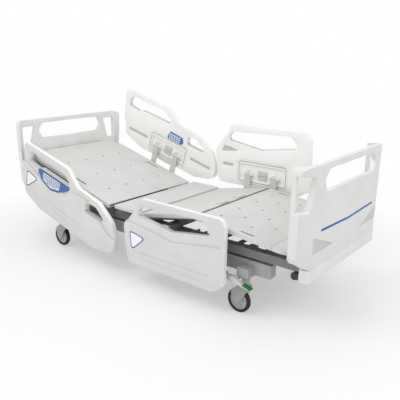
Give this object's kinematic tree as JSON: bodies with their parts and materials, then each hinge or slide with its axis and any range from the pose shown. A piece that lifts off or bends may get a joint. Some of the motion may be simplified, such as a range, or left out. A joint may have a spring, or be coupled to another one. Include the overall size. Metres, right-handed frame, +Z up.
{
  "type": "electric hospital bed",
  "caption": "Hospital bed with a height-adjustable platform, backrest and knee sections that raise, swing-down side rails, lift-off end boards and braked castors.",
  "frame": {"origin": "on the floor under the middle of the bed", "axes": "+X towards the foot end, -Y the patient's right, +Z up"},
  "size_m": [2.4, 1, 1.1198],
  "materials": {
    "frame_steel": "satin powder coat",
    "chassis_steel": "satin powder coat",
    "deck": "fine grain",
    "board": "smooth satin",
    "rail": "smooth satin",
    "arm": "satin",
    "latch": "smooth",
    "motor": "fine grain",
    "rod": "ground",
    "bumper": "satin",
    "dark_rubber": "matt",
    "tyre": "matt",
    "wheel": "smooth",
    "fork": "smooth",
    "blue": "smooth",
    "keypad": "smooth",
    "red": "smooth",
    "green": "smooth",
    "stripe": "smooth"
  },
  "bodies": {
    "chassis": {"chassis_frame": "chassis_steel", "chassis_caps": "dark_rubber", "lift_motors": "motor"},
    "lift_rods": {"lift_rods": "rod"},
    "head_arm": {"head_lift_arm": "frame_steel"},
    "foot_arm": {"foot_lift_arm": "frame_steel"},
    "platform": {"platform_frame": "frame_steel", "seat_panel": "deck", "foot_bumper": "bumper", "control_box": "motor", "thigh_motor": "motor", "backrest_motor": "motor"},
    "roller_near": {"foot_roller_near": "wheel"},
    "roller_far": {"foot_roller_far": "wheel"},
    "thigh_rod": {"thigh_rod": "rod"},
    "carriage": {"backrest_carriage": "frame_steel", "backrest_rod": "rod"},
    "backrest": {"backrest_frame": "frame_steel", "backrest_panel": "deck", "backrest_buffers": "dark_rubber"},
    "thigh": {"thigh_frame": "frame_steel", "thigh_panel": "deck", "knee_covers": "deck"},
    "leg": {"leg_frame": "frame_steel", "leg_panel": "deck", "leg_end_panel": "deck"},
    "headboard": {"headboard": "board"},
    "footboard": {"footboard": "board", "footboard_stripe": "stripe"},
    "brake": {"brake_shaft": "frame_steel", "brake_pads_red": "red", "steer_pads_green": "green"},
    "foot_arms_near": {"foot_rail_arms_near": "arm"},
    "foot_rail_near": {"foot_rail_near": "rail"},
    "foot_latch_near": {"foot_rail_latch_near": "latch"},
    "head_arms_near": {"head_rail_arms_near": "arm"},
    "head_rail_near": {"head_rail_near": "rail", "control_panel_near": "blue", "keypad_near": "keypad"},
    "head_latch_near": {"head_rail_latch_near": "latch"},
    "foot_arms_far": {"foot_rail_arms_far": "arm"},
    "foot_rail_far": {"foot_rail_far": "rail"},
    "foot_latch_far": {"foot_rail_latch_far": "latch"},
    "head_arms_far": {"head_rail_arms_far": "arm"},
    "head_rail_far": {"head_rail_far": "rail", "control_panel_far": "blue", "keypad_far": "keypad"},
    "head_latch_far": {"head_rail_latch_far": "latch"},
    "fork_foot_near": {"castor_fork_foot_near": "fork"},
    "wheel_foot_near": {"castor_wheel_foot_near": "wheel", "castor_tyre_foot_near": "tyre"},
    "fork_foot_far": {"castor_fork_foot_far": "fork"},
    "wheel_foot_far": {"castor_wheel_foot_far": "wheel", "castor_tyre_foot_far": "tyre"},
    "fork_head_near": {"castor_fork_head_near": "fork"},
    "wheel_head_near": {"castor_wheel_head_near": "wheel", "castor_tyre_head_near": "tyre"},
    "fork_head_far": {"castor_fork_head_far": "fork"},
    "wheel_head_far": {"castor_wheel_head_far": "wheel", "castor_tyre_head_far": "tyre"}
  },
  "joints": [
    {"name": "lift", "type": "hinge", "parent": "chassis", "child": "head_arm", "pos_m": [-0.633, 0, 0.285], "axis": [0, -1, 0], "range_deg": [0, 52]},
    {"name": "foot_lift", "type": "hinge", "parent": "chassis", "child": "foot_arm", "pos_m": [0.344, 0, 0.285], "axis": [0, -1, 0], "range_deg": [0, 52]},
    {"name": "platform_level", "type": "hinge", "parent": "head_arm", "child": "platform", "pos_m": [-0.19969, 0, 0.3614], "axis": [0, -1, 0], "range_deg": [-52, 0]},
    {"name": "lift_rod_slide", "type": "slide", "parent": "chassis", "child": "lift_rods", "axis": [1, 0, 0], "range_m": [0, 0.0839]},
    {"name": "carriage_slide", "type": "slide", "parent": "platform", "child": "carriage", "axis": [-1, 0, 0], "range_m": [-0.0315, 0.1153]},
    {"name": "backrest_hinge", "type": "hinge", "parent": "carriage", "child": "backrest", "pos_m": [-0.32, 0, 0.419], "axis": [0, 1, 0], "range_deg": [-15, 55]},
    {"name": "thigh_hinge", "type": "hinge", "parent": "platform", "child": "thigh", "pos_m": [0.063, 0, 0.419], "axis": [0, -1, 0], "range_deg": [-11, 22]},
    {"name": "knee", "type": "hinge", "parent": "thigh", "child": "leg", "pos_m": [0.44093, 0, 0.49246], "axis": [0, -1, 0], "range_deg": [-35, 17.6]},
    {"name": "thigh_rod_slide", "type": "slide", "parent": "platform", "child": "thigh_rod", "axis": [1, 0, 0], "range_m": [-0.0182, 0.0364]},
    {"name": "headboard_lift_off", "type": "slide", "parent": "platform", "child": "headboard", "axis": [0, 0, 1], "range_m": [0, 0.1]},
    {"name": "footboard_lift_off", "type": "slide", "parent": "platform", "child": "footboard", "axis": [0, 0, 1], "range_m": [0, 0.1]},
    {"name": "brake_pedal", "type": "hinge", "parent": "chassis", "child": "brake", "pos_m": [0.75, 0, 0.22], "axis": [0, -1, 0], "range_deg": [0, 32]},
    {"name": "roller_near_spin", "type": "hinge", "parent": "platform", "child": "roller_near", "pos_m": [1.114, -0.415, 0.352], "axis": [0, 1, 0], "continuous": true},
    {"name": "foot_rail_swing_near", "type": "hinge", "parent": "platform", "child": "foot_arms_near", "pos_m": [0.355, -0.434, 0.419], "axis": [-1, 0, 0], "range_deg": [0, 180]},
    {"name": "foot_rail_level_near", "type": "hinge", "parent": "foot_arms_near", "child": "foot_rail_near", "pos_m": [0.355, -0.434, 0.2415], "axis": [-1, 0, 0], "range_deg": [-180, 0]},
    {"name": "head_rail_swing_near", "type": "hinge", "parent": "backrest", "child": "head_arms_near", "pos_m": [-0.58901, -0.434, 0.49108], "axis": [-0.9659, 0, 0.2588], "range_deg": [0, 180]},
    {"name": "head_rail_level_near", "type": "hinge", "parent": "head_arms_near", "child": "head_rail_near", "pos_m": [-0.63495, -0.434, 0.31963], "axis": [-0.9659, 0, 0.2588], "range_deg": [-180, 0]},
    {"name": "foot_latch_pull_near", "type": "slide", "parent": "foot_rail_near", "child": "foot_latch_near", "axis": [0, 0, -1], "range_m": [0, 0.008], "stiffness_N_per_m": 400, "springref_m": -0.003},
    {"name": "head_latch_pull_near", "type": "slide", "parent": "head_rail_near", "child": "head_latch_near", "axis": [-0.2588, 0, -0.9659], "range_m": [0, 0.008], "stiffness_N_per_m": 400, "springref_m": -0.003},
    {"name": "roller_far_spin", "type": "hinge", "parent": "platform", "child": "roller_far", "pos_m": [1.114, 0.415, 0.352], "axis": [0, 1, 0], "continuous": true},
    {"name": "foot_rail_swing_far", "type": "hinge", "parent": "platform", "child": "foot_arms_far", "pos_m": [0.355, 0.434, 0.419], "axis": [-1, 0, 0], "range_deg": [0, 180]},
    {"name": "foot_rail_level_far", "type": "hinge", "parent": "foot_arms_far", "child": "foot_rail_far", "pos_m": [0.355, 0.434, 0.5965], "axis": [-1, 0, 0], "range_deg": [-180, 0]},
    {"name": "head_rail_swing_far", "type": "hinge", "parent": "backrest", "child": "head_arms_far", "pos_m": [-0.58901, 0.434, 0.49108], "axis": [-0.9659, 0, 0.2588], "range_deg": [0, 180]},
    {"name": "head_rail_level_far", "type": "hinge", "parent": "head_arms_far", "child": "head_rail_far", "pos_m": [-0.54307, 0.434, 0.66253], "axis": [-0.9659, 0, 0.2588], "range_deg": [-180, 0]},
    {"name": "foot_latch_pull_far", "type": "slide", "parent": "foot_rail_far", "child": "foot_latch_far", "axis": [0, 0, -1], "range_m": [0, 0.008], "stiffness_N_per_m": 400, "springref_m": -0.003},
    {"name": "head_latch_pull_far", "type": "slide", "parent": "head_rail_far", "child": "head_latch_far", "axis": [-0.2588, 0, -0.9659], "range_m": [0, 0.008], "stiffness_N_per_m": 400, "springref_m": -0.003},
    {"name": "castor_swivel_foot_near", "type": "hinge", "parent": "chassis", "child": "fork_foot_near", "pos_m": [0.785, -0.361, 0.19], "axis": [0, 0, 1], "continuous": true},
    {"name": "wheel_spin_foot_near", "type": "hinge", "parent": "fork_foot_near", "child": "wheel_foot_near", "pos_m": [0.745, -0.361, 0.075], "axis": [0, 1, 0], "continuous": true},
    {"name": "castor_swivel_foot_far", "type": "hinge", "parent": "chassis", "child": "fork_foot_far", "pos_m": [0.785, 0.361, 0.19], "axis": [0, 0, 1], "continuous": true},
    {"name": "wheel_spin_foot_far", "type": "hinge", "parent": "fork_foot_far", "child": "wheel_foot_far", "pos_m": [0.745, 0.361, 0.075], "axis": [0, 1, 0], "continuous": true},
    {"name": "castor_swivel_head_near", "type": "hinge", "parent": "chassis", "child": "fork_head_near", "pos_m": [-0.835, -0.361, 0.19], "axis": [0, 0, 1], "continuous": true},
    {"name": "wheel_spin_head_near", "type": "hinge", "parent": "fork_head_near", "child": "wheel_head_near", "pos_m": [-0.875, -0.361, 0.075], "axis": [0, 1, 0], "continuous": true},
    {"name": "castor_swivel_head_far", "type": "hinge", "parent": "chassis", "child": "fork_head_far", "pos_m": [-0.835, 0.361, 0.19], "axis": [0, 0, 1], "continuous": true},
    {"name": "wheel_spin_head_far", "type": "hinge", "parent": "fork_head_far", "child": "wheel_head_far", "pos_m": [-0.875, 0.361, 0.075], "axis": [0, 1, 0], "continuous": true}
  ],
  "couplings": [
    {"joint": "foot_lift", "follows": "lift", "ratio": 1},
    {"joint": "platform_level", "follows": "lift", "ratio": -1},
    {"joint": "lift_rod_slide", "follows": "lift", "m_per_rad": 0.0924},
    {"joint": "carriage_slide", "follows": "backrest_hinge", "m_per_rad": 0.12},
    {"joint": "knee", "follows": "thigh_hinge", "ratio": -1.5818},
    {"joint": "thigh_rod_slide", "follows": "thigh_hinge", "m_per_rad": 0.0946},
    {"joint": "foot_rail_level_near", "follows": "foot_rail_swing_near", "ratio": -1},
    {"joint": "foot_rail_level_far", "follows": "foot_rail_swing_far", "ratio": -1},
    {"joint": "head_rail_level_near", "follows": "head_rail_swing_near", "ratio": -1},
    {"joint": "head_rail_level_far", "follows": "head_rail_swing_far", "ratio": -1}
  ]
}
